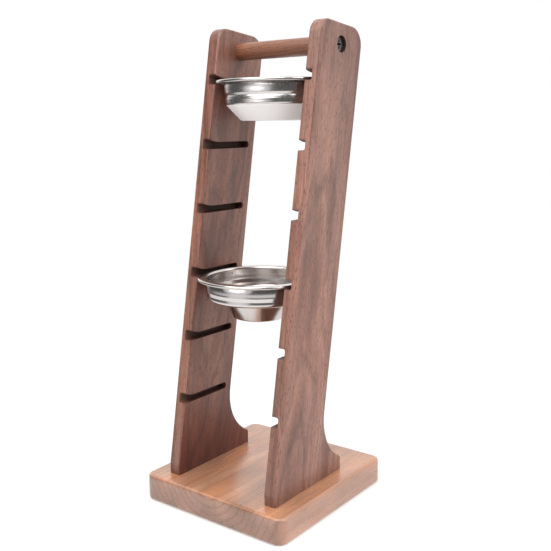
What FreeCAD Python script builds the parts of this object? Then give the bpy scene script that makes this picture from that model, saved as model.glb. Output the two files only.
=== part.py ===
import FreeCAD, Part
import math
import os

# Wooden rack for espresso filter baskets: two grooved side boards that lean back from a base block,
# a carrying rod between their tops, and two steel baskets hanging by their rims in the grooves.
# Millimetres. X runs across, the grooves open towards -Y, Z is up. Origin: centre of the base's underside.

# Filter baskets: one rim and one upper wall for both
sheet = 0.7
rim_radius = 35.0
rim_width = 4.7
rim_height = 1.9
rim_roll_width = 2.2
rim_edge_radius = 0.9
lip_radius = 1.5
wall_step = 0.5
step_bend = 0.3
shoulder_bend = 1.5
floor_bend = 0.8

# Upper basket: a straight wall with a small step, then a cone down to the flat floor
upper_step_depth = 7.2
upper_step_height = 1.4
upper_band_height = 4.5
upper_cone_height = 9.3
upper_cone_taper = 8.9

# Lower basket: a straight wall with a wider step, a sloping shelf, then a narrow cone
lower_step_depth = 7.7
lower_step_height = 2.0
lower_band_height = 3.2
lower_shelf_width = 9.2
lower_shelf_drop = 1.0
lower_cone_height = 10.1
lower_cone_taper = 5.8

# How a basket hangs between the boards
wall_clearance = 0.8
rim_side_clearance = 0.85
rim_top_clearance = 2.0
rim_end_clearance = 1.65
basket_setback = 18.5

# Side boards
board_width = 40.5
board_lean = 10.13
board_top_slope = 5.6
top_front_radius = 8.0
top_rear_radius = 9.5
board_arris = 1.0

# Foot of a board
toe_height = 6.0
heel_reach = 23.5
heel_height = 8.1
heel_corner_radius = 1.6
sweep_radius = 30.0

# Grooves
tier_count = 6
empty_tiers_between = 2
first_seat_height = 41.8
tier_pitch = 36.2
top_reach = 32.2
groove_floor_wall = 2.95
groove_floor_radius = 1.2
flare_rise = 2.4
flare_length = 9.5

# Base block
base_height = 15.2
base_side_margin = 11.2
base_front_margin = 9.8
base_rear_margin = 29.2
base_corner_radius = 6.0
base_edge_radius = 2.0

# Carrying rod and its two screws
rod_radius = 5.0
rod_drop = 12.9
handle_head_radius = 4.0
handle_head_sink = 1.7
handle_shank_radius = 2.0
handle_screw_length = 26.0

# Base screws
base_head_radius = 3.6
base_shank_radius = 1.75
base_screw_bite = 16.0
front_screw_inset = 12.0
screw_spacing = 27.0

# Both kinds of screw
head_clearance = 0.4
shank_clearance = 0.1
tip_length = 4.0
head_rim = 0.5
recess_share = 0.62
recess_wing = 0.95

# How far a cutting shape runs past the wood
cut_over = 3.0

# Worked out from the sizes above
lean = math.radians(board_lean)
wall_radius = rim_radius - rim_width
band_radius = wall_radius - wall_step
inner_x = wall_radius + wall_clearance
groove_depth = rim_radius + rim_side_clearance - inner_x
groove_width = rim_height + rim_top_clearance
board_thickness = groove_depth + groove_floor_wall
outer_x = inner_x + board_thickness
level_width = board_width / math.cos(lean)
foot_length = level_width - toe_height * math.tan(lean) + heel_reach
base_width = 2 * (outer_x + base_side_margin)
base_depth = base_front_margin + foot_length + base_rear_margin
toe_y = -base_depth / 2 + base_front_margin
toe_top = base_height + toe_height
heel_y = toe_y + foot_length
heel_z = base_height + heel_height
board_top = base_height + first_seat_height + (tier_count - 1) * tier_pitch + top_reach
rim_chord = math.sqrt(rim_radius ** 2 - inner_x ** 2)
groove_length = basket_setback + rim_chord + rim_end_clearance
rod_z = board_top - rod_drop
base_screw_length = base_height + base_screw_bite
upper_basket_tier = tier_count
lower_basket_tier = tier_count - empty_tiers_between - 1


def point(x, y, z):
    return FreeCAD.Vector(x, y, z)


def front_y(z):
    # Front edge of the leaning boards at a height
    return toe_y + (z - toe_top) * math.tan(lean)


def rear_y(z):
    return front_y(z) + level_width


def seat_z(tier):
    # Lower face of a groove, where a rim rests; tiers count up from 1
    return base_height + first_seat_height + (tier - 1) * tier_pitch


def polygon(points):
    return Part.Face(Part.makePolygon(points + [points[0]]))


def edges_where(shape, test):
    return [edge for edge in shape.Edges if test(edge)]


def rounded(shape, radius, test):
    return shape.makeFillet(radius, edges_where(shape, test))


def at(value, wanted):
    return abs(value - wanted) < 0.01


def across_board(y, z):
    # Picks the edge that runs through a board's thickness at a corner of its side view
    def test(edge):
        box = edge.BoundBox
        return box.XLength > 0.9 * board_thickness and at(box.YMin, y) and at(box.ZMin, z)
    return test


def save(shape, name):
    shape.exportStep("parts/" + name + ".step")


def cross_recess(arm):
    # Four tapering wings: a cross cut back to a cone
    bars = Part.makeBox(2 * arm, recess_wing, arm, point(-arm, -recess_wing / 2, 0))
    bars = bars.fuse(Part.makeBox(recess_wing, 2 * arm, arm, point(-recess_wing / 2, -arm, 0)))
    return bars.common(Part.makeCone(arm, arm / 3, arm))


def countersunk_screw(head_radius, shank_radius, length):
    # Head face at the origin, shank towards +Z, with a pointed tip
    outline = polygon([
        point(0, 0, 0),
        point(head_radius, 0, 0),
        point(head_radius, 0, head_rim),
        point(shank_radius, 0, head_rim + head_radius - shank_radius),
        point(shank_radius, 0, length - tip_length),
        point(0, 0, length),
    ])
    screw = outline.revolve(point(0, 0, 0), point(0, 0, 1), 360)
    return screw.cut(cross_recess(head_radius * recess_share))


def screw_hole(head_radius, shank_radius, length):
    # The hole for such a screw: open behind the head, which seats on the cone
    open_radius = head_radius + head_clearance
    hole_radius = shank_radius + shank_clearance
    outline = polygon([
        point(0, 0, -cut_over),
        point(open_radius, 0, -cut_over),
        point(open_radius, 0, head_rim),
        point(head_radius, 0, head_rim),
        point(hole_radius, 0, head_rim + head_radius - hole_radius),
        point(hole_radius, 0, length - tip_length + shank_clearance),
        point(0, 0, length + shank_clearance),
    ])
    return outline.revolve(point(0, 0, 0), point(0, 0, 1), 360)


def base_screw_places():
    # Two up into the foot of each board
    front = toe_y + front_screw_inset
    middle = (inner_x + outer_x) / 2
    places = {}
    for side, x in (("left", -middle), ("right", middle)):
        places[side + "_front"] = point(x, front, 0)
        places[side + "_rear"] = point(x, front + screw_spacing, 0)
    return places


def base_screw(place):
    return countersunk_screw(base_head_radius, base_shank_radius, base_screw_length).translated(place)


def base_screw_hole(place):
    return screw_hole(base_head_radius, base_shank_radius, base_screw_length).translated(place)


def base_block():
    block = Part.makeBox(base_width, base_depth, base_height, point(-base_width / 2, -base_depth / 2, 0))
    block = rounded(block, base_corner_radius, lambda edge: at(edge.BoundBox.ZLength, base_height))
    block = rounded(block, base_edge_radius, lambda edge: at(edge.BoundBox.ZLength, 0))
    for place in base_screw_places().values():
        block = block.cut(base_screw_hole(place))
    return block


def sweep_centre():
    # The rear sweep touches the leaning rear edge and ends at the heel's top corner
    slope = math.tan(lean)
    start = rear_y(0) + sweep_radius / math.cos(lean) - heel_y
    a = slope ** 2 + 1
    b = 2 * (slope * start - heel_z)
    c = start ** 2 + heel_z ** 2 - sweep_radius ** 2
    z = (-b + math.sqrt(b ** 2 - 4 * a * c)) / (2 * a)
    return start + heel_y + slope * z, z


def top_rear_corner():
    # The top edge falls towards the rear
    slope = math.tan(math.radians(board_top_slope))
    drop = slope * level_width / (1 + slope * math.tan(lean))
    return rear_y(board_top - drop), board_top - drop


def board_outline():
    # Side view of a board on its inner face
    centre_y, centre_z = sweep_centre()

    def on_sweep(angle):
        return side(centre_y + sweep_radius * math.cos(angle), centre_z + sweep_radius * math.sin(angle))

    def side(y, z):
        return point(inner_x, y, z)

    touch_angle = math.pi - lean
    heel_angle = 2 * math.pi + math.atan2(heel_z - centre_z, heel_y - centre_y)
    toe = side(toe_y, base_height)
    shin = side(toe_y, toe_top)
    top_front = side(front_y(board_top), board_top)
    top_rear = side(*top_rear_corner())
    heel = side(heel_y, heel_z)
    heel_foot = side(heel_y, base_height)
    sweep = Part.Arc(on_sweep(touch_angle), on_sweep((touch_angle + heel_angle) / 2), heel)
    return Part.Wire([
        Part.makeLine(toe, shin),
        Part.makeLine(shin, top_front),
        Part.makeLine(top_front, top_rear),
        Part.makeLine(top_rear, on_sweep(touch_angle)),
        sweep.toShape(),
        Part.makeLine(heel, heel_foot),
        Part.makeLine(heel_foot, toe),
    ])


def board_blank():
    # The right-hand board before its grooves and holes
    blank = Part.Face(board_outline()).extrude(point(board_thickness, 0, 0))
    blank = rounded(blank, top_front_radius, across_board(front_y(board_top), board_top))
    blank = rounded(blank, top_rear_radius, across_board(*top_rear_corner()))
    blank = rounded(blank, heel_corner_radius, across_board(heel_y, heel_z))
    return rounded(
        blank,
        board_arris,
        lambda edge: at(edge.BoundBox.XLength, 0) and not at(edge.BoundBox.ZMax, base_height),
    )


def groove_cutter(seat):
    # One groove with a rounded rear end and a mouth whose upper side flares
    x = inner_x - cut_over
    front = front_y(seat)
    rear = front + groove_length - groove_width / 2
    top = seat + groove_width
    flare_radius = (flare_length ** 2 + flare_rise ** 2) / (2 * flare_rise)
    reach = flare_length + cut_over

    def flare(distance):
        rise = flare_radius - math.sqrt(flare_radius ** 2 - distance ** 2)
        return point(x, front + flare_length - distance, top + rise)

    lower_front = point(x, front - cut_over, seat)
    lower_rear = point(x, rear, seat)
    tip = point(x, rear + groove_width / 2, seat + groove_width / 2)
    upper_rear = point(x, rear, top)
    outline = Part.Wire([
        Part.makeLine(lower_front, lower_rear),
        Part.Arc(lower_rear, tip, upper_rear).toShape(),
        Part.makeLine(upper_rear, flare(0)),
        Part.Arc(flare(0), flare(reach / 2), flare(reach)).toShape(),
        Part.makeLine(flare(reach), lower_front),
    ])
    cutter = Part.Face(outline).extrude(point(cut_over + groove_depth, 0, 0))
    return rounded(cutter, groove_floor_radius, lambda edge: at(edge.BoundBox.XMin, inner_x + groove_depth))


def right_board():
    board = board_blank()
    for tier in range(1, tier_count + 1):
        board = board.cut(groove_cutter(seat_z(tier)))
    for name, place in base_screw_places().items():
        if name.startswith("right"):
            board = board.cut(base_screw_hole(place))
    return board.cut(handle_screw_hole())


def rod_y():
    # Midway between the boards' front and rear edges
    return (front_y(rod_z) + rear_y(rod_z)) / 2


def into_rod(shape):
    # From upright at the origin to its place in the right board, pointing into the rod
    head = point(outer_x - handle_head_sink, rod_y(), rod_z)
    return shape.rotated(point(0, 0, 0), point(0, 1, 0), -90).translated(head)


def handle_screw():
    return into_rod(countersunk_screw(handle_head_radius, handle_shank_radius, handle_screw_length))


def handle_screw_hole():
    return into_rod(screw_hole(handle_head_radius, handle_shank_radius, handle_screw_length))


def mirrored(shape):
    return shape.mirror(point(0, 0, 0), point(1, 0, 0))


def handle_rod():
    rod = Part.makeCylinder(rod_radius, 2 * inner_x, point(-inner_x, rod_y(), rod_z), point(1, 0, 0))
    rod = rod.cut(handle_screw_hole())
    return rod.cut(mirrored(handle_screw_hole()))


def turn(before, corner, after):
    # Unit directions into and out of a corner, and the sine of the turn in the XZ plane
    first = (corner - before).normalize()
    second = (after - corner).normalize()
    return first, second, first.x * second.z - first.z * second.x


def upper_normal(direction):
    return point(-direction.z, 0, direction.x)


def moved_to_upper_side(under):
    # The same line one sheet thickness further in and up, with mitred corners
    start = upper_normal((under[1] - under[0]).normalize())
    end = upper_normal((under[-1] - under[-2]).normalize())
    upper = [under[0] + start * sheet]
    for before, corner, after in zip(under, under[1:], under[2:]):
        first, second, sine = turn(before, corner, after)
        a, b = upper_normal(first), upper_normal(second)
        upper.append(corner + (a + b) * (sheet / (1 + a.dot(b))))
    return upper + [under[-1] + end * sheet]


def bent_line(corners, bends):
    # Straight runs joined by tangent arcs
    edges = []
    last = corners[0]
    for before, corner, after, bend in zip(corners, corners[1:], corners[2:], bends):
        first, second, sine = turn(before, corner, after)
        half = first.getAngle(second) / 2
        back = bend * math.tan(half)
        inward = (second - first).normalize()
        centre = corner + inward * (bend / math.cos(half))
        edges.append(Part.makeLine(last, corner - first * back))
        last = corner + second * back
        edges.append(Part.Arc(corner - first * back, centre - inward * bend, last).toShape())
    edges.append(Part.makeLine(last, corners[-1]))
    return edges


def spun_sheet(places):
    # A round sheet-metal shell from (radius, depth, inside bend radius) along its underside, axis outwards
    under = [point(radius, 0, -depth) for radius, depth, bend in places]
    upper = moved_to_upper_side(under)
    turns = [turn(*three)[2] for three in zip(under, under[1:], under[2:])]
    bends = [bend for radius, depth, bend in places[1:-1]]
    under_bends = [bend + (sheet if sine > 0 else 0) for bend, sine in zip(bends, turns)]
    upper_bends = [bend + (0 if sine > 0 else sheet) for bend, sine in zip(bends, turns)]
    edges = bent_line(under, under_bends) + [Part.makeLine(under[-1], upper[-1])]
    edges += bent_line(upper, upper_bends) + [Part.makeLine(upper[0], under[0])]
    section = Part.Face(Part.Wire(Part.sortEdges(edges)[0]))
    return section.revolve(point(0, 0, 0), point(0, 0, 1), 360)


def rim_places():
    # From the top of the wall over the lip and out to the rim, whose edge is rolled under
    roll_bend = rim_edge_radius - sheet
    return [
        (wall_radius, sheet, lip_radius - sheet),
        (rim_radius - sheet, sheet, roll_bend),
        (rim_radius - sheet, rim_height - sheet, roll_bend),
        (rim_radius - rim_roll_width, rim_height - sheet, 0),
    ]


def basket(foot, step_depth, step_height, band_height):
    # The foot's places, then a wall that narrows by one step, which a retaining spring grips
    shoulder_depth = step_depth + step_height + band_height
    wall = [
        (band_radius, shoulder_depth, shoulder_bend),
        (band_radius, step_depth + step_height, step_bend),
        (wall_radius, step_depth, step_bend),
    ]
    places = [(radius, shoulder_depth + drop, bend) for radius, drop, bend in foot]
    return spun_sheet(places + wall + rim_places())


def upper_basket():
    floor_radius = band_radius - upper_cone_taper
    foot = [
        (0, upper_cone_height, 0),
        (floor_radius, upper_cone_height, floor_bend),
    ]
    return basket(foot, upper_step_depth, upper_step_height, upper_band_height)


def lower_basket():
    neck_radius = band_radius - lower_shelf_width
    floor_radius = neck_radius - lower_cone_taper
    floor_drop = lower_shelf_drop + lower_cone_height
    foot = [
        (0, floor_drop, 0),
        (floor_radius, floor_drop, floor_bend),
        (neck_radius, lower_shelf_drop, step_bend),
    ]
    return basket(foot, lower_step_depth, lower_step_height, lower_band_height)


def hung(shape, tier):
    # The rolled rim lies on the lower faces of a pair of grooves
    seat = seat_z(tier)
    return shape.translated(point(0, front_y(seat) + basket_setback, seat + rim_height))


os.makedirs("parts", exist_ok=True)
board = right_board()
save(base_block(), "base")
save(board, "right_board")
save(mirrored(board), "left_board")
save(handle_rod(), "handle_rod")
save(handle_screw(), "right_handle_screw")
save(mirrored(handle_screw()), "left_handle_screw")
for name, place in base_screw_places().items():
    save(base_screw(place), "base_screw_" + name)
save(hung(upper_basket(), upper_basket_tier), "upper_basket")
save(hung(lower_basket(), lower_basket_tier), "lower_basket")
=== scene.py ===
import math

import bpy
from mathutils import Matrix, Vector
from mathutils.geometry import delaunay_2d_cdt


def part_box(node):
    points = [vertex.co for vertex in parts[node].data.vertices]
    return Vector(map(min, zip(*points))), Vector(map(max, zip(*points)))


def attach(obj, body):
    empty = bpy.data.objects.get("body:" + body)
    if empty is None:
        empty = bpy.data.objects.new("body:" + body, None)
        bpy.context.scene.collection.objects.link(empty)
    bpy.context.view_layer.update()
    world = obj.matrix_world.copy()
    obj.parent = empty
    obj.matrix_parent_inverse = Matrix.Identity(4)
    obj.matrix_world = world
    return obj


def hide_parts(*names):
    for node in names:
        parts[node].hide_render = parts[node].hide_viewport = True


# Looks for the wooden rack of espresso filter baskets. The scene is in metres.
# Sizes in the dictionaries are in millimetres, apart from the studio's, which are in metres.
mm = 0.001

print("frame: packed model")
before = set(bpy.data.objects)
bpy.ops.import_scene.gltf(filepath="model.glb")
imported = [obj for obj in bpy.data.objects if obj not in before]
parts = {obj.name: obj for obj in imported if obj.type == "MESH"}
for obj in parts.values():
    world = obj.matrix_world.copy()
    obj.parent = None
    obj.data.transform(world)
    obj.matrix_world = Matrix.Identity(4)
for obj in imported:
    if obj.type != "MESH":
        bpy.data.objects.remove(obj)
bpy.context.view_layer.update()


def toLinear(hexColour):
    # sRGB hex, as a paint chart gives it, to the linear colour that a shader works in, by the sRGB curve
    shares = [int(hexColour[i:i + 2], 16) / 255 for i in (0, 2, 4)]
    return [s / 12.92 if s <= 0.04045 else ((s + 0.055) / 1.055) ** 2.4 for s in shares] + [1.0]


def addNode(tree, kind, inputs=None, **settings):
    # One node; each input is a socket to link from, or a fixed value
    node = tree.nodes.new(kind)
    for name, value in settings.items():
        setattr(node, name, value)
    for name, value in (inputs or {}).items():
        if isinstance(value, bpy.types.NodeSocket):
            tree.links.new(value, node.inputs[name])
        else:
            node.inputs[name].default_value = value
    return node


def fillRamp(node, stops):
    # Colour stops as (place, hex colour)
    ramp = node.color_ramp
    while len(ramp.elements) < len(stops):
        ramp.elements.new(1)
    for element, (place, hexColour) in zip(ramp.elements, stops):
        element.position = place
        element.color = toLinear(hexColour)
    return node.outputs["Color"]


def newMaterial(name):
    material = bpy.data.materials.new(name)
    material.use_nodes = True
    return material, material.node_tree, material.node_tree.nodes["Principled BSDF"]


noiseLow, noiseHigh = 0.3, 0.7  # a noise texture seldom leaves these

# Black walnut, planed and sanded, with a satin hard-wax oil: brown heartwood with a violet-grey cast,
# fine dark growth lines, short open pores drawn along the grain, and a soft sheen that blurs reflections.
# Pores are about 0.2 mm wide on the real wood, too fine for the picture, so they are drawn wider.
boardWood = {
    "grainTurn": (10.13, 2.5, 0),  # degrees, as the board leans
    "pith": (-14.0, 29.0, 110.0),
    "ringGap": 3.4,
    "ringWander": 12.0,  # a ring strays by about a quarter of it to each side
    "wanderAcross": 24.0,
    "wanderAlong": 80.0,
    "heart": [(0.3, "6b4437"), (0.5, "885c4d"), (0.7, "9c7161")],  # tones of the rings, by a noise
    "toneScale": 0.45,  # of that noise, for one ring
    "growthLine": "56352a",
    "growthStrength": (0.42, 0.42),
    "year": [(0.0, "000000"), (0.55, "202020"), (0.88, "ffffff"), (1.0, "000000")],  # the line within a ring
    "greyStreak": "7c6660",
    "streakShare": 0.36,
    "streakLimits": (0.42, 0.68),
    "streakAcross": 4.0,
    "streakAlong": 60.0,
    "cloudAcross": 8.0,
    "cloudAlong": 55.0,
    "cloudShade": 0.3,
    "pore": "472a21",
    "poreAcross": 0.8,
    "poreAlong": 4.0,
    "poreLimits": (0.12, 0.34),
    "poreStrength": 0.8,
    "fibreAcross": 0.5,
    "fibreAlong": 14.0,
    "fibreShade": 0.24,
    "roughness": (0.34, 0.44),
    "refraction": 1.5,
    "oil": 0.05,
    "reliefDepth": 0.05,
    "reliefStrength": 0.35,
    "endGrain": "5f4036",
    "endShare": 0.4,
    "endLimits": (0.6, 0.95),
    "sideGrain": "9e7a6f",
    "sideShare": 0.0,
    "sideLimits": (0.3, 0.8),
    "cutGrainAndShade": "3a1c12",
    "cutDullness": 0.4,
    # darker, redder inner face near the foot, partly wood tone and partly painted shade; white here, so no
    # change
    "footToneAndShade": "ffffff",
    "footReach": (0.0, 10.0),
    "shadedInnerFace": (31.2, 32.4),
}

# The rod is turned from a redder piece, with narrow growth rings and a little more oil
rodWood = dict(
    boardWood,
    grainTurn=(0, -90, 0),
    pith=(-12.0, 5.0, 0.0),
    heart=[(0.3, "704431"), (0.5, "805039"), (0.7, "8c5c45")],
    growthLine="53301f",
    growthStrength=(0.5, 0.5),
    greyStreak="735142",
    ringGap=1.6,
    cloudAcross=14.0,
    cloudAlong=35.0,
    cloudShade=0.19,
    fibreShade=0.14,
    oil=0.2,
)

# The base is a lighter block, sanded finer and oiled more, with faint pores and a glossier top
baseWood = dict(
    boardWood,
    grainTurn=(90, 0, 0),
    pith=(1.0, 25.0, 0.0),
    ringGap=4.2,
    ringWander=7.2,
    wanderAcross=18.0,
    wanderAlong=110.0,
    heart=[(0.3, "a06b49"), (0.5, "ae7857"), (0.7, "ba8968")],
    growthLine="80543c",
    growthStrength=(0.26, 0.7),
    greyStreak="98796a",
    streakShare=0.5,
    streakAcross=9.0,
    cloudAcross=14.0,
    cloudAlong=35.0,
    cloudShade=0.24,
    fibreShade=0.1,
    pore="7c5239",
    poreStrength=0.3,
    roughness=(0.24, 0.32),
    oil=0.7,
    endGrain="82695f",
    endShare=0.5,
    sideShare=0.4,
)

# The left board comes from another plank, with a darker and redder inner face towards the foot:
# partly the wood's own tone, partly painted shade for the right board's shadow there
leftBoardWood = dict(
    boardWood,
    grainTurn=(10.13, 4, 0),
    pith=(-4.0, 31.0, 60.0),
    heart=[(0.3, "684133"), (0.5, "845747"), (0.7, "976b5a")],
    footToneAndShade="cb9f96",
    footReach=(18.0, 80.0),
)

# Routed and bored walls, in the frame: the grooves by their depth, first seat, pitch and mouth and by two
# lines that lean with the boards, given at the table's height, and the counterbores by the rod's axis.
# The walls are darkened, most in the counterbores and least at the grooves' sanded mouths: partly cut grain,
# which drinks more oil and stays dark, and partly painted shade in these hollows.
cuts = {
    "middleX": 33.6,
    "halfDepth": 2.4,
    "firstSeat": 57.0,
    "underSeat": 0.05,
    "pitch": 36.2,
    "mouth": 6.4,
    "frontLine": -45.3,
    "endLine": -8.8,
    "leanSlope": 0.17867,
    "sanded": 7.0,
    "mouthShare": 0.3,
    "grooveShare": 0.85,
    "boreShare": 1.0,
    "rodAxis": (0.0, 21.27, 257.3),
    "boreRadius": 4.5,
}


def cutGrainAndShadeMask(tree, frameMm, cuts):
    # How dark the cuts are, for their darker grain and the painted shade in them: a share on the walls of the
    # grooves and counterbores, 0 on the planed faces
    places = addNode(tree, "ShaderNodeSeparateXYZ", {"Vector": frameMm})
    side = addNode(tree, "ShaderNodeMath", {0: places.outputs["X"]}, operation="ABSOLUTE").outputs[0]
    inDepth = addNode(tree, "ShaderNodeMath", {
        0: side, 1: cuts["middleX"], 2: cuts["halfDepth"],
    }, operation="COMPARE").outputs[0]
    rise = addNode(tree, "ShaderNodeMath", {
        0: places.outputs["Z"], 1: cuts["firstSeat"] - cuts["underSeat"],
    }, operation="SUBTRACT").outputs[0]
    inTier = addNode(tree, "ShaderNodeMath", {
        0: rise, 1: cuts["pitch"],
    }, operation="FLOORED_MODULO").outputs[0]
    inMouth = addNode(tree, "ShaderNodeMath", {0: inTier, 1: cuts["mouth"]}, operation="LESS_THAN").outputs[0]
    back = addNode(tree, "ShaderNodeMath", {
        0: places.outputs["Z"], 1: -cuts["leanSlope"], 2: places.outputs["Y"],
    }, operation="MULTIPLY_ADD").outputs[0]
    inLength = addNode(tree, "ShaderNodeMath", {
        0: back, 1: cuts["endLine"],
    }, operation="LESS_THAN").outputs[0]
    grooveShare = addNode(tree, "ShaderNodeMapRange", {
        "Value": back,
        "From Min": cuts["frontLine"],
        "From Max": cuts["frontLine"] + cuts["sanded"],
        "To Min": cuts["mouthShare"],
        "To Max": cuts["grooveShare"],
    }).outputs[0]
    overFirst = addNode(tree, "ShaderNodeMath", {0: rise, 1: 0.0}, operation="GREATER_THAN").outputs[0]
    grooves = inDepth
    for limit in (inMouth, overFirst, inLength, grooveShare):
        grooves = addNode(tree, "ShaderNodeMath", {0: grooves, 1: limit}, operation="MULTIPLY").outputs[0]
    across = addNode(tree, "ShaderNodeVectorMath", {
        0: frameMm, 1: (0, 1, 1),
    }, operation="MULTIPLY").outputs[0]
    fromRod = addNode(tree, "ShaderNodeVectorMath", {0: across, 1: cuts["rodAxis"]}, operation="DISTANCE")
    bore = addNode(tree, "ShaderNodeMath", {
        0: fromRod.outputs["Value"], 1: cuts["boreRadius"],
    }, operation="LESS_THAN").outputs[0]
    bore = addNode(tree, "ShaderNodeMath", {0: bore, 1: cuts["boreShare"]}, operation="MULTIPLY").outputs[0]
    return addNode(tree, "ShaderNodeMath", {0: grooves, 1: bore}, operation="MAXIMUM").outputs[0]


def walnut(name, wood):
    material, tree, shader = newMaterial(name)
    place = addNode(tree, "ShaderNodeTexCoord").outputs["Object"]
    frameMm = addNode(tree, "ShaderNodeVectorMath", {0: place, 3: 1 / mm}, operation="SCALE").outputs[0]
    turn = [math.radians(angle) for angle in wood["grainTurn"]]
    log = addNode(tree, "ShaderNodeMapping", {
        "Vector": frameMm, "Location": wood["pith"], "Rotation": turn,
    }).outputs["Vector"]

    def drawnOut(across, along):
        # The log's millimetres, with one unit for each of these sizes across and along the grain
        size = (1 / across, 1 / across, 1 / along)
        return addNode(tree, "ShaderNodeVectorMath", {0: log, 1: size}, operation="MULTIPLY").outputs[0]

    # Growth rings round the pith, which wander along the log
    wander = addNode(tree, "ShaderNodeTexNoise", {
        "Vector": drawnOut(wood["wanderAcross"], wood["wanderAlong"]),
        "Scale": 1.0,
        "Detail": 3.0,
    }).outputs["Color"]
    centred = addNode(tree, "ShaderNodeVectorMath", {
        0: wander, 1: (0.5, 0.5, 0.5),
    }, operation="SUBTRACT").outputs[0]
    shifted = addNode(tree, "ShaderNodeVectorMath", {
        0: centred, 1: [wood["ringWander"]] * 3, 2: log,
    }, operation="MULTIPLY_ADD").outputs[0]
    flat = addNode(tree, "ShaderNodeVectorMath", {
        0: shifted, 1: (1, 1, 0),
    }, operation="MULTIPLY").outputs[0]
    radius = addNode(tree, "ShaderNodeVectorMath", {0: flat}, operation="LENGTH").outputs["Value"]
    years = addNode(tree, "ShaderNodeMath", {0: radius, 1: wood["ringGap"]}, operation="DIVIDE").outputs[0]
    season = addNode(tree, "ShaderNodeMath", {0: years}, operation="FRACT").outputs[0]
    growth = fillRamp(addNode(tree, "ShaderNodeValToRGB", {"Fac": season}), wood["year"])
    tone = addNode(tree, "ShaderNodeTexNoise", {
        "W": years, "Scale": wood["toneScale"], "Detail": 3.0,
    }, noise_dimensions="1D").outputs["Fac"]
    heart = fillRamp(addNode(tree, "ShaderNodeValToRGB", {"Fac": tone}), wood["heart"])

    # Broad grey streaks, long fibres, short pores and slow clouds
    streaks = addNode(tree, "ShaderNodeTexNoise", {
        "Vector": drawnOut(wood["streakAcross"], wood["streakAlong"]),
        "Scale": 1.0,
        "Detail": 5.0,
        "Roughness": 0.6,
    }).outputs["Fac"]
    streakShare = addNode(tree, "ShaderNodeMapRange", {
        "Value": streaks,
        "From Min": wood["streakLimits"][0],
        "From Max": wood["streakLimits"][1],
        "To Min": 0.0,
        "To Max": wood["streakShare"],
    }).outputs[0]
    fibres = addNode(tree, "ShaderNodeTexNoise", {
        "Vector": drawnOut(wood["fibreAcross"], wood["fibreAlong"]),
        "Scale": 1.0,
        "Detail": 4.0,
        "Roughness": 0.65,
    }).outputs["Fac"]
    poreCells = addNode(tree, "ShaderNodeTexVoronoi", {
        "Vector": drawnOut(wood["poreAcross"], wood["poreAlong"]),
        "Scale": 1.0,
    }).outputs["Distance"]
    pores = addNode(tree, "ShaderNodeMapRange", {
        "Value": poreCells,
        "From Min": wood["poreLimits"][0],
        "From Max": wood["poreLimits"][1],
        "To Min": 1.0,
        "To Max": 0.0,
    }).outputs[0]
    clouds = addNode(tree, "ShaderNodeTexNoise", {
        "Vector": drawnOut(wood["cloudAcross"], wood["cloudAlong"]),
        "Scale": 1.0,
        "Detail": 3.0,
    }).outputs["Fac"]

    # Faces across the grain show cut fibres, which are darker, and on the base clearer growth rings.
    # The base's sawn sides are drawn greyer than its top.
    facing = addNode(tree, "ShaderNodeNewGeometry").outputs["True Normal"]
    grainFacing = addNode(tree, "ShaderNodeMapping", {"Vector": facing, "Rotation": turn}).outputs["Vector"]
    endOn = addNode(tree, "ShaderNodeSeparateXYZ", {"Vector": grainFacing}).outputs["Z"]
    endOn = addNode(tree, "ShaderNodeMath", {0: endOn}, operation="ABSOLUTE").outputs[0]
    endFace = addNode(tree, "ShaderNodeMapRange", {
        "Value": endOn, "From Min": wood["endLimits"][0], "From Max": wood["endLimits"][1],
    }, interpolation_type="SMOOTHSTEP").outputs[0]
    endShare = addNode(tree, "ShaderNodeMath", {
        0: endFace, 1: wood["endShare"],
    }, operation="MULTIPLY").outputs[0]
    clearness = addNode(tree, "ShaderNodeMapRange", {
        "Value": endFace, "To Min": wood["growthStrength"][0], "To Max": wood["growthStrength"][1],
    }).outputs[0]
    growthShare = addNode(tree, "ShaderNodeMath", {0: growth, 1: clearness}, operation="MULTIPLY").outputs[0]
    level = addNode(tree, "ShaderNodeSeparateXYZ", {"Vector": facing}).outputs["Z"]
    level = addNode(tree, "ShaderNodeMath", {0: level}, operation="ABSOLUTE").outputs[0]
    sideShare = addNode(tree, "ShaderNodeMapRange", {
        "Value": level,
        "From Min": wood["sideLimits"][0],
        "From Max": wood["sideLimits"][1],
        "To Min": wood["sideShare"],
        "To Max": 0.0,
    }).outputs[0]
    colour = heart
    for share, tint in (
        (streakShare, "greyStreak"),
        (sideShare, "sideGrain"),
        (endShare, "endGrain"),
        (growthShare, "growthLine"),
    ):
        colour = addNode(tree, "ShaderNodeMixRGB", {
            "Fac": share, "Color1": colour, "Color2": toLinear(wood[tint]),
        }).outputs[0]
    for shading, reach in ((fibres, wood["fibreShade"]), (clouds, wood["cloudShade"])):
        shade = addNode(tree, "ShaderNodeMapRange", {
            "Value": shading,
            "From Min": noiseLow,
            "From Max": noiseHigh,
            "To Min": 1 - reach,
            "To Max": 1 + reach,
        }).outputs[0]
        colour = addNode(tree, "ShaderNodeVectorMath", {0: colour, 1: shade}, operation="MULTIPLY").outputs[0]
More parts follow.
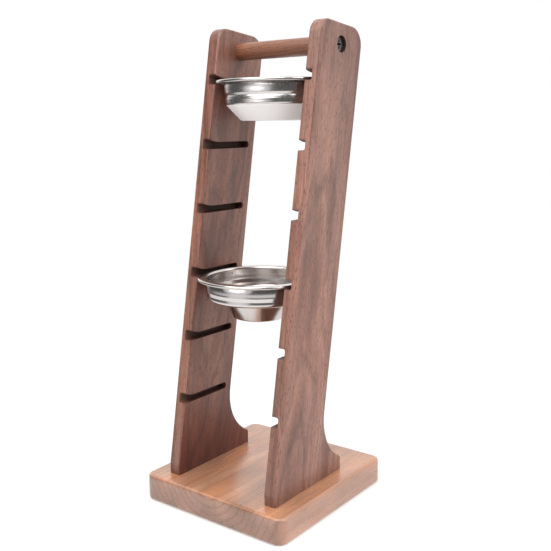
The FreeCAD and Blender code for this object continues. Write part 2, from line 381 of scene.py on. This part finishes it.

    # A deeper tone on a plank's inner face near the foot, partly the wood's own and partly painted shade; it
    # is white, and so no change, on most pieces
    spot = addNode(tree, "ShaderNodeSeparateXYZ", {"Vector": frameMm})
    side = addNode(tree, "ShaderNodeMath", {0: spot.outputs["X"]}, operation="ABSOLUTE").outputs[0]
    pastShadedFace = addNode(tree, "ShaderNodeMapRange", {
        "Value": side, "From Min": wood["shadedInnerFace"][0], "From Max": wood["shadedInnerFace"][1],
    }).outputs[0]
    overFoot = addNode(tree, "ShaderNodeMapRange", {
        "Value": spot.outputs["Z"], "From Min": wood["footReach"][0], "From Max": wood["footReach"][1],
    }, interpolation_type="SMOOTHSTEP").outputs[0]
    outsideFoot = addNode(tree, "ShaderNodeMath", {0: overFoot, 1: pastShadedFace}, operation="MAXIMUM").outputs[0]
    footShade = addNode(tree, "ShaderNodeMixRGB", {
        "Fac": outsideFoot, "Color1": toLinear(wood["footToneAndShade"]), "Color2": toLinear("ffffff"),
    }).outputs[0]
    colour = addNode(tree, "ShaderNodeVectorMath", {
        0: colour, 1: footShade,
    }, operation="MULTIPLY").outputs[0]

    # Pores over all of it, and dark walls in the cuts, partly painted shade, with less oil on the surface
    poreShare = addNode(tree, "ShaderNodeMath", {
        0: pores, 1: wood["poreStrength"],
    }, operation="MULTIPLY").outputs[0]
    cut = cutGrainAndShadeMask(tree, frameMm, cuts)
    for share, tint in ((poreShare, "pore"), (cut, "cutGrainAndShade")):
        colour = addNode(tree, "ShaderNodeMixRGB", {
            "Fac": share, "Color1": colour, "Color2": toLinear(wood[tint]),
        }).outputs[0]
    oil = addNode(tree, "ShaderNodeMapRange", {"Value": cut, "To Min": wood["oil"], "To Max": 0.0}).outputs[0]
    gloss = addNode(tree, "ShaderNodeMapRange", {
        "Value": fibres,
        "From Min": noiseLow,
        "From Max": noiseHigh,
        "To Min": wood["roughness"][1],
        "To Max": wood["roughness"][0],
    }).outputs[0]
    dull = addNode(tree, "ShaderNodeMath", {
        0: cut, 1: wood["cutDullness"], 2: gloss,
    }, operation="MULTIPLY_ADD").outputs[0]
    relief = addNode(tree, "ShaderNodeMath", {0: fibres, 1: pores}, operation="SUBTRACT").outputs[0]
    bump = addNode(tree, "ShaderNodeBump", {
        "Height": relief, "Strength": wood["reliefStrength"], "Distance": wood["reliefDepth"] * mm,
    }).outputs["Normal"]
    tree.links.new(colour, shader.inputs["Base Color"])
    tree.links.new(oil, shader.inputs["Coat Weight"])
    tree.links.new(dull, shader.inputs["Roughness"])
    tree.links.new(gloss, shader.inputs["Coat Roughness"])
    tree.links.new(bump, shader.inputs["Normal"])
    shader.inputs["IOR"].default_value = wood["refraction"]
    return material


# 18/10 stainless steel, deep drawn and polished on a lathe: outside a soft mirror with the faintest lines
# round it, and inside a satin that blurs what it shows. The upper basket's cone is drawn an even near-white,
# which scatters light almost as paint does with little of the metal's mirror: a painted reflection of the
# white table.
# The lathe's lines lie closer on the real steel, and are drawn coarser so that they show.
# The steels' greys carry a faint warm tint, a painted reflection of the walnut round them
steelOutside = {
    "colour": "ccc7c6",
    "metallic": 1.0,
    "lineGap": 0.35,
    "lineDepth": 0.0014,
    "dentSize": 16.0,
    "dentDepth": 0.02,
}
steelInside = dict(steelOutside, colour="cfc9c6", roughness=(0.18, 0.25), lineDepth=0.0008)
paleFootPaintedReflection = dict(steelOutside, colour="f7f4f4", roughness=(0.38, 0.48), metallic=0.2)


def polishedSteel(name, look, axis):
    material, tree, shader = newMaterial(name)
    place = addNode(tree, "ShaderNodeTexCoord").outputs["Object"]
    centred = addNode(tree, "ShaderNodeMapping", {
        "Vector": place,
        "Location": [-value for value in axis],
        "Scale": (1 / mm, 1 / mm, 1 / mm),
    }).outputs["Vector"]
    flat = addNode(tree, "ShaderNodeVectorMath", {
        0: centred, 1: (1, 1, 0),
    }, operation="MULTIPLY").outputs[0]
    radius = addNode(tree, "ShaderNodeVectorMath", {0: flat}, operation="LENGTH").outputs["Value"]
    height = addNode(tree, "ShaderNodeSeparateXYZ", {"Vector": centred}).outputs["Z"]
    profile = addNode(tree, "ShaderNodeCombineXYZ", {"X": radius, "Y": height}).outputs[0]
    lines = addNode(tree, "ShaderNodeTexNoise", {
        "Vector": profile, "Scale": 1 / look["lineGap"], "Detail": 2.0,
    }).outputs["Fac"]
    dents = addNode(tree, "ShaderNodeTexNoise", {
        "Vector": centred, "Scale": 1 / look["dentSize"], "Detail": 1.0,
    }).outputs["Fac"]
    dentBump = addNode(tree, "ShaderNodeBump", {
        "Height": dents, "Strength": 1.0, "Distance": look["dentDepth"] * mm,
    }).outputs["Normal"]
    lineBump = addNode(tree, "ShaderNodeBump", {
        "Height": lines, "Strength": 1.0, "Distance": look["lineDepth"] * mm, "Normal": dentBump,
    }).outputs["Normal"]
    gloss = addNode(tree, "ShaderNodeMapRange", {
        "Value": lines,
        "From Min": noiseLow,
        "From Max": noiseHigh,
        "To Min": look["roughness"][0],
        "To Max": look["roughness"][1],
    }).outputs[0]
    tree.links.new(gloss, shader.inputs["Roughness"])
    tree.links.new(lineBump, shader.inputs["Normal"])
    shader.inputs["Base Color"].default_value = toLinear(look["colour"])
    shader.inputs["Metallic"].default_value = look["metallic"]
    return material


# Screw steel, cold headed: burnished grey on the handle, zinc plated under the base.
# A grain breaks the sheen, drawn coarser than the real one so that it shows.
burnished = {
    "colours": [(0.35, "5d5758"), (0.7, "938e8f")],
    "metallic": 1.0,
    "roughness": (0.30, 0.46),
    "grain": 0.6,
    "grainDepth": 0.02,
    "grainStrength": 0.5,
}
zincPlate = dict(
    burnished,
    colours=[(0.35, "8d8c88"), (0.7, "b4b2ac")],
    roughness=(0.25, 0.45),
    grain=0.8,
    grainDepth=0.01,
)

# Painted shade in the cross recesses, which darkens from the head's face down
recessShade = {"colour": "171213", "from": 0.1, "to": 0.6, "share": 0.9}


def screwSteel(name, look, face, inward):
    material, tree, shader = newMaterial(name)
    place = addNode(tree, "ShaderNodeTexCoord").outputs["Object"]
    grain = addNode(tree, "ShaderNodeTexNoise", {
        "Vector": place, "Scale": 1 / (look["grain"] * mm), "Detail": 4.0,
    }).outputs["Fac"]
    colour = fillRamp(addNode(tree, "ShaderNodeValToRGB", {"Fac": grain}), look["colours"])
    fromFace = addNode(tree, "ShaderNodeVectorMath", {0: place, 1: face}, operation="SUBTRACT").outputs[0]
    sunk = addNode(tree, "ShaderNodeVectorMath", {
        0: fromFace, 1: inward,
    }, operation="DOT_PRODUCT").outputs["Value"]
    recessShadeShare = addNode(tree, "ShaderNodeMapRange", {
        "Value": sunk,
        "From Min": recessShade["from"] * mm,
        "From Max": recessShade["to"] * mm,
        "To Max": recessShade["share"],
    }).outputs[0]
    colour = addNode(tree, "ShaderNodeMixRGB", {
        "Fac": recessShadeShare, "Color1": colour, "Color2": toLinear(recessShade["colour"]),
    }).outputs[0]
    gloss = addNode(tree, "ShaderNodeMapRange", {
        "Value": grain, "To Min": look["roughness"][0], "To Max": look["roughness"][1],
    }).outputs[0]
    bump = addNode(tree, "ShaderNodeBump", {
        "Height": grain, "Strength": look["grainStrength"], "Distance": look["grainDepth"] * mm,
    }).outputs["Normal"]
    tree.links.new(colour, shader.inputs["Base Color"])
    tree.links.new(gloss, shader.inputs["Roughness"])
    tree.links.new(bump, shader.inputs["Normal"])
    shader.inputs["Metallic"].default_value = look["metallic"]
    return material


def dress(name, material):
    slots = parts[name].data.materials
    slots.clear()
    slots.append(material)


print("materials: walnut and screws")
dress("base", walnut("walnut base, oiled satin", baseWood))
dress("handle_rod", walnut("walnut rod, oiled satin", rodWood))
dress("left_board", walnut("walnut left board, oiled satin", leftBoardWood))
dress("right_board", walnut("walnut right board, oiled satin", boardWood))
for name in parts:
    if "screw" not in name:
        continue
    low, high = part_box(name)
    if name == "right_handle_screw":
        dress(name, screwSteel("burnished steel, right handle screw", burnished, high, (-1, 0, 0)))
    elif name == "left_handle_screw":
        dress(name, screwSteel("burnished steel, left handle screw", burnished, low, (1, 0, 0)))
    else:
        dress(name, screwSteel("zinc plated steel, " + name, zincPlate, low, (0, 0, 1)))

# Both filter baskets: one sheet, its rim and its wall. The crown is the slight bulge of a spun wall,
# which only runs over the least length and steepness have.
spun = {
    "sheet": 0.7,
    "rimRadius": 35.0,
    "rimHeight": 1.9,
    "rollWidth": 2.2,
    "edgeRadius": 0.9,
    "lipRadius": 1.5,
    "wallRadius": 30.3,
    "bandRadius": 29.8,
    "shoulderBend": 1.5,
    "stepBend": 0.3,
    "crown": 0.16,
    "crownSteps": 10,
    "crownLeastLength": 2.0,
    "crownLeastSteepness": 0.9,
    "facetDegrees": 8,
    "leastFacets": 2,
    "segments": 256,
}

# The upper basket's pressed groove, and its cone down to the floor, drawn near-white as a painted reflection.
# Each foot corner is its radius, its depth under the rim's top and its inside bend.
upperForm = {
    "stepDepth": 7.2,
    "stepHeight": 1.4,
    "grooveDepth": 0.3,
    "grooveHeight": 0.9,
    "shoulderDepth": 13.1,
    "foot": [(20.9, 22.4, 0.8)],
    "paleFootRadius": 29.0,
    "roughness": (0.22, 0.28),
}

# The lower basket's wider step, then a shelf and a narrow cone, polished a little brighter
lowerForm = {
    "stepDepth": 7.7,
    "stepHeight": 2.0,
    "grooveDepth": 0.0,
    "shoulderDepth": 12.9,
    "foot": [(14.8, 24.0, 0.8), (20.6, 13.9, 0.3)],
    "paleFootRadius": 0.0,
    "roughness": (0.16, 0.21),
}

# Floor holes: about 0.3 mm across on the real one, drawn coarser so that they show
holes = {"radius": 0.3, "pitch": 1.5, "margin": 1.2, "sides": 10, "mergeWithin": 1e-6}


def basketPlaces(spun, form):
    # Corners of the sheet's underside from the floor's centre to the rim's end: radius, depth, inside bend
    foot = form["foot"]
    stepFoot = form["stepDepth"] + form["stepHeight"]
    places = [(0, foot[0][1], 0)] + foot
    places += [(spun["bandRadius"], form["shoulderDepth"], spun["shoulderBend"])]
    if form["grooveDepth"]:
        places += [
            (spun["bandRadius"], stepFoot + form["grooveHeight"], spun["stepBend"]),
            (spun["bandRadius"] - form["grooveDepth"], stepFoot, spun["stepBend"]),
        ]
    else:
        places += [(spun["bandRadius"], stepFoot, spun["stepBend"])]
    rollBend = spun["edgeRadius"] - spun["sheet"]
    edge = spun["rimRadius"] - spun["sheet"]
    under = spun["rimHeight"] - spun["sheet"]
    return places + [
        (spun["wallRadius"], form["stepDepth"], spun["stepBend"]),
        (spun["wallRadius"], spun["sheet"], spun["lipRadius"] - spun["sheet"]),
        (edge, spun["sheet"], rollBend),
        (edge, under, rollBend),
        (spun["rimRadius"] - spun["rollWidth"], under, 0),
    ]


def leftOf(direction):
    return Vector((-direction.y, direction.x))


def bentLine(places, spun):
    # Points of the sheet's underside with the unit normals towards its upper side: arcs at the corners,
    # and runs between them
    corners = [Vector((radius, -depth)) for radius, depth, bend in places]
    line = []

    def addRun(start, end):
        along = (end - start).normalized()
        length = (end - start).length
        crowned = abs(along.y) > spun["crownLeastSteepness"] and length > spun["crownLeastLength"]
        steps = spun["crownSteps"] if crowned else 1
        crown = spun["crown"] if crowned else 0
        for k in range(steps + 1):
            share = k / steps
            bulge = crown * math.sin(math.pi * share) ** 2
            slope = crown * math.pi * math.sin(math.tau * share) / length
            spot = start + along * (length * share) - leftOf(along) * bulge
            line.append((spot, (leftOf(along) + along * slope).normalized()))

    last = corners[0]
    for before, corner, after, place in zip(corners, corners[1:], corners[2:], places[1:]):
        first = (corner - before).normalized()
        second = (after - corner).normalized()
        side = math.copysign(1, first.x * second.y - first.y * second.x)
        angle = first.angle(second)
        bend = place[2] + (spun["sheet"] if side > 0 else 0)
        back = bend * math.tan(angle / 2)
        addRun(last, corner - first * back)
        centre = corner - first * back + leftOf(first) * (side * bend)
        count = max(spun["leastFacets"], round(math.degrees(angle) / spun["facetDegrees"]))
        for k in range(1, count):
            turn = Matrix.Rotation(side * angle * k / count, 2)
            normal = turn @ leftOf(first)
            line.append((centre - normal * (side * bend), normal))
        last = corner + second * back
    addRun(last, corners[-1])
    return line


def drilledFloor(rim, holes, reach):
    # Flat triangles between the floor's edge and a hexagonal pattern of round holes
    spots = list(rim)
    owner = [-1] * len(spots)
    rowGap = holes["pitch"] * math.sqrt(3) / 2
    rows = int(reach / rowGap) + 1
    rings = []
    for row in range(-rows, rows + 1):
        for column in range(-2 * rows, 2 * rows + 1):
            middle = Vector(((column + 0.5 * (row % 2)) * holes["pitch"], row * rowGap))
            if middle.length > reach:
                continue
            ring = list(range(len(spots), len(spots) + holes["sides"]))
            for k in range(holes["sides"]):
                turn = math.tau * k / holes["sides"]
                spots.append(middle + Vector((math.cos(turn), math.sin(turn))) * holes["radius"])
                owner.append(len(rings))
            rings.append((middle, ring))
    made = delaunay_2d_cdt(spots, [], [], 0, holes["mergeWithin"])  # 0 fills the whole hull
    triangles, sources = made[2], made[3]
    faces = [[sources[corner][0] for corner in face] for face in triangles]
    return spots, rings, [face for face in faces if owner[face[0]] < 0 or len({owner[c] for c in face}) > 1]


def spunBasket(name, node, form, spun, holes):
    low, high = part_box(node)
    axis = Vector(((low[0] + high[0]) / 2, (low[1] + high[1]) / 2, high[2]))
    line = bentLine(basketPlaces(spun, form), spun)[1:]  # from the first bend on, round the drilled floor
    sheet = spun["sheet"]
    segments = spun["segments"]
    verts, faces, normals, finishes = [], [], [], []
    outer, inner, foot = 0, 1, 2  # material slots
    around = []
    for k in range(segments):
        angle = math.tau * k / segments
        around.append(Vector((math.cos(angle), math.sin(angle))))

    def addRing(spot):
        first = len(verts)
        verts.extend(Vector((spot.x * way.x, spot.x * way.y, spot.y)) for way in around)
        return first

    def addBand(first, second, firstNormal, secondNormal, finish):
        # Quads between two rings, with the true normals of the turned shape at each corner
        for k in range(segments):
            step = (k + 1) % segments
            faces.append([first + k, first + step, second + step, second + k])
            ends = ((k, firstNormal), (step, firstNormal), (step, secondNormal), (k, secondNormal))
            for at, normal in ends:
                normals.append(Vector((normal.x * around[at].x, normal.x * around[at].y, normal.y)))
            finishes.append(finish)

    under = [addRing(spot) for spot, normal in line]
    upper = [addRing(spot + normal * sheet) for spot, normal in line]
    for k in range(len(line) - 1):
        here, there = line[k][1], line[k + 1][1]
        finish = foot if line[k][0].x < form["paleFootRadius"] else outer
        addBand(under[k], under[k + 1], -here, -there, finish)
        addBand(upper[k + 1], upper[k], there, here, inner)
    end = (line[-1][0] - line[-2][0]).normalized()
    addBand(under[-1], upper[-1], end, end, outer)

    # The floor: two drilled faces, and the walls of the holes
    edge = line[0][0].x
    rim = [way * edge for way in around]
    spots, rings, flatFaces = drilledFloor(rim, holes, edge - holes["margin"])
    floorZ = line[0][0].y
    drilled = spots[segments:]
    lowerCorners = [under[0] + k for k in range(segments)] + [len(verts) + k for k in range(len(drilled))]
    verts.extend(Vector((spot.x, spot.y, floorZ)) for spot in drilled)
    upperCorners = [upper[0] + k for k in range(segments)] + [len(verts) + k for k in range(len(drilled))]
    verts.extend(Vector((spot.x, spot.y, floorZ + sheet)) for spot in drilled)
    for face in flatFaces:
        faces.append([upperCorners[corner] for corner in face])
        normals.extend([Vector((0, 0, 1))] * len(face))
        finishes.append(inner)
        faces.append([lowerCorners[corner] for corner in reversed(face)])
        normals.extend([Vector((0, 0, -1))] * len(face))
        finishes.append(foot if form["paleFootRadius"] else outer)
    for middle, ring in rings:
        for k, corner in enumerate(ring):
            after = ring[(k + 1) % len(ring)]
            faces.append([
                upperCorners[corner], upperCorners[after], lowerCorners[after], lowerCorners[corner],
            ])
            for at in (corner, after, after, corner):
                away = (middle - spots[at]).normalized()
                normals.append(Vector((away.x, away.y, 0)))
            finishes.append(outer)

    mesh = bpy.data.meshes.new(name)
    mesh.from_pydata([axis + vert * mm for vert in verts], [], faces)
    for polygon, finish in zip(mesh.polygons, finishes):
        polygon.use_smooth = True
        polygon.material_index = finish
    mesh.normals_split_custom_set(normals)
    outside = dict(steelOutside, roughness=form["roughness"])
    mesh.materials.append(polishedSteel("polished stainless steel, outside of " + node, outside, axis))
    mesh.materials.append(polishedSteel("satin stainless steel, inside of " + node, steelInside, axis))
    # only the upper basket's cone takes the near-white finish, a painted reflection of the white table
    if form["paleFootRadius"]:
        mesh.materials.append(polishedSteel("blasted stainless steel, foot of " + node, paleFootPaintedReflection, axis))
    basket = bpy.data.objects.new(name, mesh)
    bpy.context.scene.collection.objects.link(basket)
    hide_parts(node)
    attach(basket, "root")
    print(name, len(mesh.polygons), "faces,", len(rings), "holes")


print("filter baskets")
spunBasket("upper_basket_shell", "upper_basket", upperForm, spun, holes)
spunBasket("lower_basket_shell", "lower_basket", lowerForm, spun, holes)

# The camera of the photograph: its angles in degrees, and its aim point beside and above the base's centre
cameraView = {
    "azimuth": 37.41,
    "elevation": 10.67,
    "roll": -0.609,
    "distance": 461.5,
    "sideways": 7.09,
    "height": 130.36,
    "focalPixels": 806.4,
    "framePixels": 551,
}


def pointing(azimuth, elevation):
    # Unit vector from the object towards an azimuth, where 0 is the open front and 90 the right side
    turn, rise = math.radians(azimuth), math.radians(elevation)
    return Vector((math.sin(turn) * math.cos(rise), -math.cos(turn) * math.cos(rise), math.sin(rise)))


def placeCamera(view):
    turn, roll = math.radians(view["azimuth"]), math.radians(view["roll"])
    back = pointing(view["azimuth"], view["elevation"])
    right = Vector((math.cos(turn), math.sin(turn), 0))
    up = back.cross(right)
    aim = right * view["sideways"] + Vector((0, 0, view["height"]))
    data = bpy.data.cameras.new("camera")
    data.lens = data.sensor_width * view["focalPixels"] / view["framePixels"]
    camera = bpy.data.objects.new("camera", data)
    tiltedRight = right * math.cos(roll) + up * math.sin(roll)
    tiltedUp = up * math.cos(roll) - right * math.sin(roll)
    axes = Matrix((tiltedRight, tiltedUp, back)).transposed().to_4x4()
    camera.matrix_world = Matrix.Translation((aim + back * view["distance"]) * mm) @ axes
    bpy.context.scene.collection.objects.link(camera)
    bpy.context.scene.camera = camera


print("camera")
placeCamera(cameraView)

# A white studio: a white painted table, matt, which keeps the object's shadow and fades to plain white
# further out, soft boxes, a bright backdrop behind the object and a dim room round the camera
studio = {
    "tableRadius": 0.42,
    "tableCorners": 128,
    "tableColour": "f1f0ee",
    "tableRoughness": 0.9,
    "fadeStart": 0.14,
    "fadeEnd": 0.38,
    "fadeLeast": 0.35,
    "backdrop": {"azimuth": 183.0, "elevation": 35.0, "strength": 1.2, "reach": (-0.05, 0.35)},
    "room": 0.12,
    "aimHeight": 0.13,
    "lamps": {
        "leftBox": {"azimuth": -9, "elevation": -3, "distance": 1.1, "size": (0.7, 0.2), "power": 0.75},
        "leftGlow": {"azimuth": -9, "elevation": -3, "distance": 1.2, "size": (1.5, 0.7), "power": 2.0},
        "rightBox": {"azimuth": 98, "elevation": 40, "distance": 2.6, "size": (2.0, 2.0), "power": 27.2},
        "frontBox": {"azimuth": 4, "elevation": 52, "distance": 0.42, "size": (0.46, 0.46), "power": 2.05},
    },
}


def addTable(plan):
    corners = range(plan["tableCorners"])
    ring = [pointing(360 * k / len(corners), 0) * plan["tableRadius"] for k in corners]
    mesh = bpy.data.meshes.new("table")
    mesh.from_pydata(ring, [], [list(corners)])
    table = bpy.data.objects.new("table", mesh)
    bpy.context.scene.collection.objects.link(table)
    material, tree, shader = newMaterial("white painted table, matt")
    shader.inputs["Base Color"].default_value = toLinear(plan["tableColour"])
    shader.inputs["Roughness"].default_value = plan["tableRoughness"]
    place = addNode(tree, "ShaderNodeTexCoord").outputs["Object"]
    away = addNode(tree, "ShaderNodeVectorMath", {0: place}, operation="LENGTH").outputs["Value"]
    fade = addNode(tree, "ShaderNodeMapRange", {
        "Value": away,
        "From Min": plan["fadeStart"],
        "From Max": plan["fadeEnd"],
        "To Min": plan["fadeLeast"],
        "To Max": 1.0,
    }, interpolation_type="SMOOTHSTEP").outputs[0]
    rays = addNode(tree, "ShaderNodeLightPath")
    seen = addNode(tree, "ShaderNodeMath", {
        0: rays.outputs["Is Camera Ray"], 1: rays.outputs["Is Glossy Ray"],
    }, operation="ADD", use_clamp=True).outputs[0]
    share = addNode(tree, "ShaderNodeMath", {0: fade, 1: seen}, operation="MULTIPLY").outputs[0]
    white = addNode(tree, "ShaderNodeEmission", {"Color": (1, 1, 1, 1), "Strength": 1.0}).outputs[0]
    mixed = addNode(tree, "ShaderNodeMixShader", {0: share, 1: shader.outputs[0], 2: white}).outputs[0]
    tree.links.new(mixed, tree.nodes["Material Output"].inputs["Surface"])
    mesh.materials.append(material)


def addLamp(name, lamp, aimHeight):
    back = pointing(lamp["azimuth"], lamp["elevation"])
    data = bpy.data.lights.new(name, "AREA")
    data.shape = "ELLIPSE"
    data.size, data.size_y = lamp["size"]
    data.energy = lamp["power"]
    box = bpy.data.objects.new(name, data)
    box.location = back * lamp["distance"] + Vector((0, 0, aimHeight))
    box.rotation_euler = back.to_track_quat("Z", "Y").to_euler()
    bpy.context.scene.collection.objects.link(box)


def addSurround(plan):
    # White to the camera; for light and reflections, bright behind the object and dim round the camera
    world = bpy.data.worlds.new("studio surround")
    world.use_nodes = True
    tree = world.node_tree
    direction = addNode(tree, "ShaderNodeTexCoord").outputs["Generated"]
    backdrop = plan["backdrop"]
    towards = pointing(backdrop["azimuth"], backdrop["elevation"])
    facing = addNode(tree, "ShaderNodeVectorMath", {
        0: direction, 1: towards,
    }, operation="DOT_PRODUCT").outputs["Value"]
    glow = addNode(tree, "ShaderNodeMapRange", {
        "Value": facing,
        "From Min": backdrop["reach"][0],
        "From Max": backdrop["reach"][1],
        "To Min": plan["room"],
        "To Max": backdrop["strength"],
    }, interpolation_type="SMOOTHSTEP").outputs[0]
    seen = addNode(tree, "ShaderNodeLightPath").outputs["Is Camera Ray"]
    strength = addNode(tree, "ShaderNodeMapRange", {"Value": seen, "To Min": glow, "To Max": 1.0}).outputs[0]
    background = tree.nodes["Background"]
    background.inputs["Color"].default_value = (1, 1, 1, 1)
    tree.links.new(strength, background.inputs["Strength"])
    bpy.context.scene.world = world


print("studio")
addTable(studio)
addSurround(studio)
for name, lamp in studio["lamps"].items():
    addLamp(name, lamp, studio["aimHeight"])
bpy.context.scene.view_settings.view_transform = "Standard"
